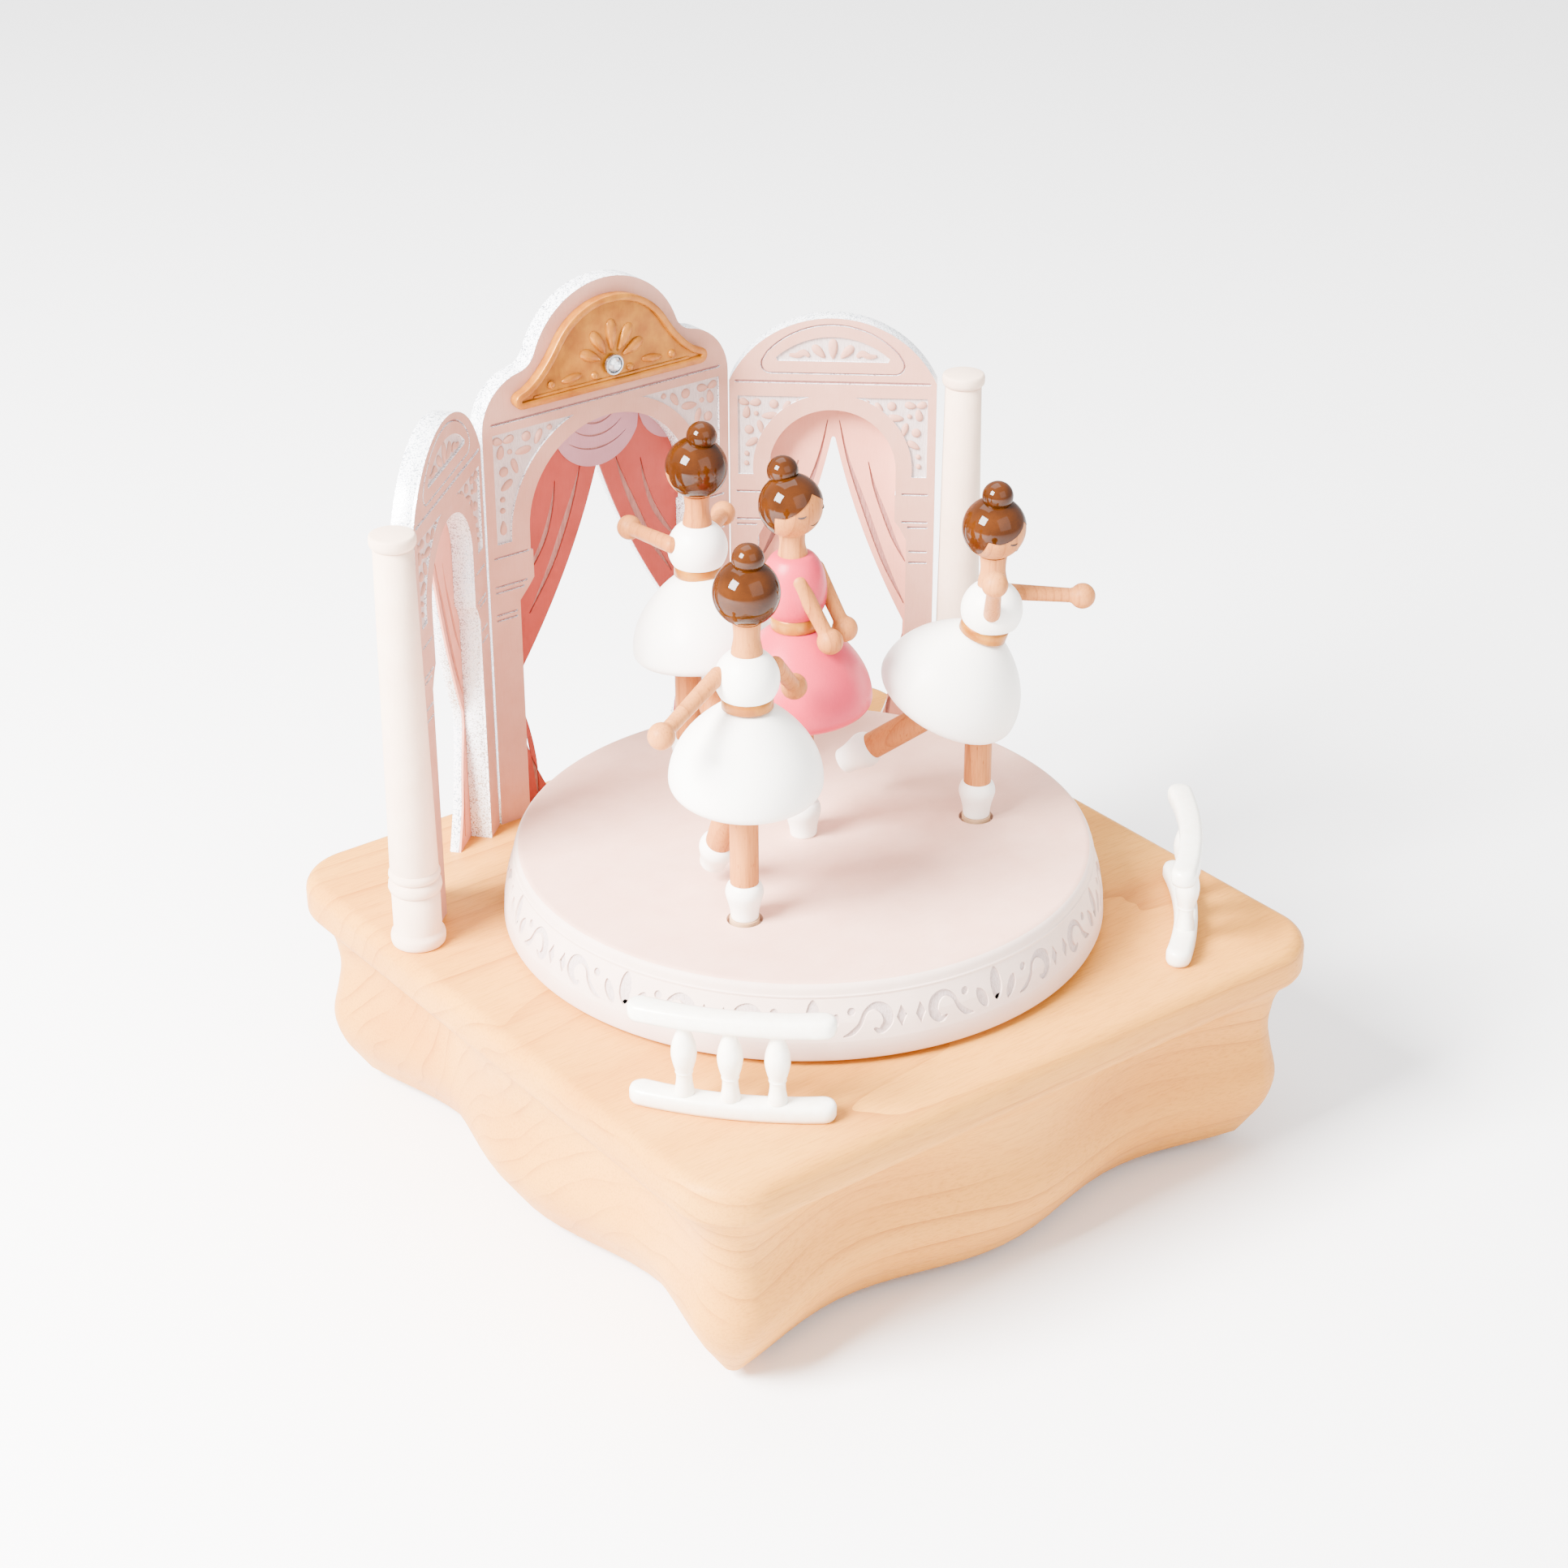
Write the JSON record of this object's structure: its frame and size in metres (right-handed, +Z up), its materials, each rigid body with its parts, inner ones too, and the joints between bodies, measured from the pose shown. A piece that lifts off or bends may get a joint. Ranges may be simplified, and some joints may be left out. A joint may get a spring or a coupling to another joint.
{
  "type": "ballerina music box",
  "caption": "Wooden music box with a bombe base, a turning round stage with spinning turned dancers, and an arched theatre backdrop with curtains and columns",
  "frame": {"origin": "middle of the underside of the feet", "axes": "+Z up, front towards -Y, backdrop towards +Y"},
  "size_m": [0.16, 0.16, 0.174],
  "materials": {
    "maple_base": "oiled maple with fine grain",
    "beech": "bare turned beech",
    "hair_paint": "glossy brown lacquer on turned wood",
    "ivory_paint": "satin ivory paint on turned wood",
    "pink_paint": "satin pink paint on turned wood",
    "pale_wash": "pale pink wash with engraved ornament",
    "coral_wash": "coral stain with engraved folds",
    "peach_wash": "peach stain with engraved folds",
    "gold_paint": "satin metallic gold paint",
    "cream_resin": "cream moulded resin",
    "crystal": "faceted clear stone",
    "steel": "machined steel",
    "brass": "machined brass",
    "tan_plastic": "tan moulded nylon",
    "rubber": "matt black rubber"
  },
  "bodies": {
    "base": {"base_body": "maple_base", "bottom_cover": "beech", "cover_screws": "steel", "rubber_feet": "rubber", "stage_bearing": "brass", "sun_gear": "brass", "sun_gear_screws": "steel", "center_panel": "pale_wash", "left_panel": "pale_wash", "right_panel": "pale_wash", "center_curtain": "coral_wash", "left_curtain": "peach_wash", "right_curtain": "peach_wash", "gold_pediment": "gold_paint", "rhinestone": "crystal", "columns": "pale_wash", "bottom_rails": "cream_resin", "balusters": "cream_resin", "handrails": "cream_resin", "movement_bedplate": "steel", "movement_screws": "steel", "comb": "steel", "governor_bracket": "steel"},
    "stage": {"stage_disc": "pale_wash", "stage_hub": "steel", "hub_screws": "steel", "spring_barrel": "brass", "solo_leg": "beech", "solo_skirt": "pink_paint", "solo_belt": "gold_paint", "solo_torso": "pink_paint", "solo_head": "hair_paint", "solo_arms": "beech"},
    "front_dancer": {"front_head": "hair_paint", "front_torso": "ivory_paint", "front_belt": "gold_paint", "front_skirt": "ivory_paint", "front_leg": "beech", "front_raised_leg": "beech", "front_arms": "beech", "front_spindle": "tan_plastic"},
    "right_dancer": {"right_head": "hair_paint", "right_torso": "ivory_paint", "right_belt": "gold_paint", "right_skirt": "ivory_paint", "right_leg": "beech", "right_raised_leg": "beech", "right_arms": "beech", "right_spindle": "tan_plastic"},
    "back_dancer": {"back_head": "hair_paint", "back_torso": "ivory_paint", "back_belt": "gold_paint", "back_skirt": "ivory_paint", "back_leg": "beech", "back_raised_leg": "beech", "back_arms": "beech", "back_spindle": "tan_plastic"},
    "cylinder": {"music_cylinder": "brass"},
    "governor_wheel": {"governor_gear": "brass"},
    "governor": {"governor_fan": "steel"}
  },
  "joints": [
    {"name": "stage_spin", "type": "hinge", "parent": "base", "child": "stage", "pos_m": [0, -0.0024, 0.06], "axis": [0, 0, 1], "continuous": true},
    {"name": "front_dancer_spin", "type": "hinge", "parent": "stage", "child": "front_dancer", "pos_m": [-0.03109, -0.02337, 0.07], "axis": [0, 0, 1], "continuous": true},
    {"name": "right_dancer_spin", "type": "hinge", "parent": "stage", "child": "right_dancer", "pos_m": [0.0337, -0.01884, 0.07], "axis": [0, 0, 1], "continuous": true},
    {"name": "back_dancer_spin", "type": "hinge", "parent": "stage", "child": "back_dancer", "pos_m": [-0.00262, 0.03501, 0.07], "axis": [0, 0, 1], "continuous": true},
    {"name": "cylinder_spin", "type": "hinge", "parent": "base", "child": "cylinder", "pos_m": [0.03, -0.0024, 0.01728], "axis": [1, 0, 0], "continuous": true},
    {"name": "governor_wheel_spin", "type": "hinge", "parent": "base", "child": "governor_wheel", "pos_m": [0.039, -0.0108, 0.01728], "axis": [1, 0, 0], "continuous": true},
    {"name": "governor_spin", "type": "hinge", "parent": "base", "child": "governor", "pos_m": [0.0397, -0.0173, 0.02], "axis": [0, 0, 1], "continuous": true}
  ],
  "couplings": [
    {"joint": "front_dancer_spin", "follows": "stage_spin", "ratio": 4},
    {"joint": "right_dancer_spin", "follows": "stage_spin", "ratio": 4},
    {"joint": "back_dancer_spin", "follows": "stage_spin", "ratio": 4},
    {"joint": "cylinder_spin", "follows": "stage_spin", "ratio": -2.5},
    {"joint": "governor_wheel_spin", "follows": "stage_spin", "ratio": 8},
    {"joint": "governor_spin", "follows": "stage_spin", "ratio": 80}
  ]
}
